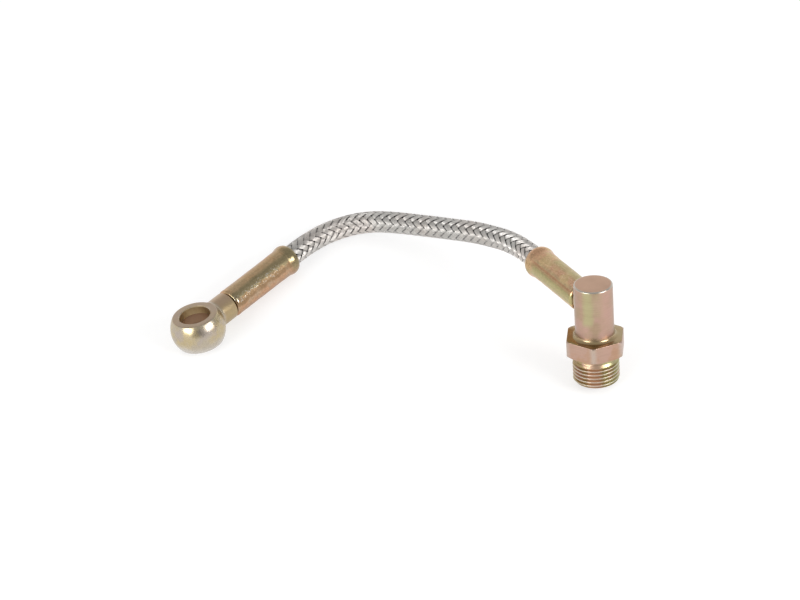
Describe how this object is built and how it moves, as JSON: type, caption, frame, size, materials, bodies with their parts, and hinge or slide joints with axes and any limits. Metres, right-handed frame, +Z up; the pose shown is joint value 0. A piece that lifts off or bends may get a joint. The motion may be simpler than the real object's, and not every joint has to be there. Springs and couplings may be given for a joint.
{
  "type": "fuel line",
  "caption": "Short steel-braided fuel hose with a banjo eye crimped on one end and a right-angled hexagon union with a male thread on the other.",
  "frame": {"origin": "centre of the bounding box, on the surface that the line lies on", "axes": "+X along the line from the banjo eye to the threaded union, +Y towards the hose's bow, +Z up"},
  "size_m": [0.1166, 0.0716, 0.0285],
  "materials": {
    "eye_zinc": "polished steel, pale yellow zinc plated",
    "eye_sleeve_zinc": "drawn steel, olive and tan yellow zinc",
    "braid_steel": "bright drawn wire",
    "liner_plastic": "smooth black",
    "union_sleeve_zinc": "drawn steel, tan and green yellow zinc",
    "tail_zinc": "turned steel, yellow zinc",
    "union_zinc": "turned steel, pink, tan and green yellow zinc"
  },
  "bodies": {
    "root": {"banjo_eye": "eye_zinc", "eye_sleeve": "eye_sleeve_zinc", "wire_braid": "braid_steel", "hose_liner": "liner_plastic", "union_sleeve": "union_sleeve_zinc", "union_hose_tail": "tail_zinc", "threaded_union": "union_zinc"}
  },
  "joints": []
}
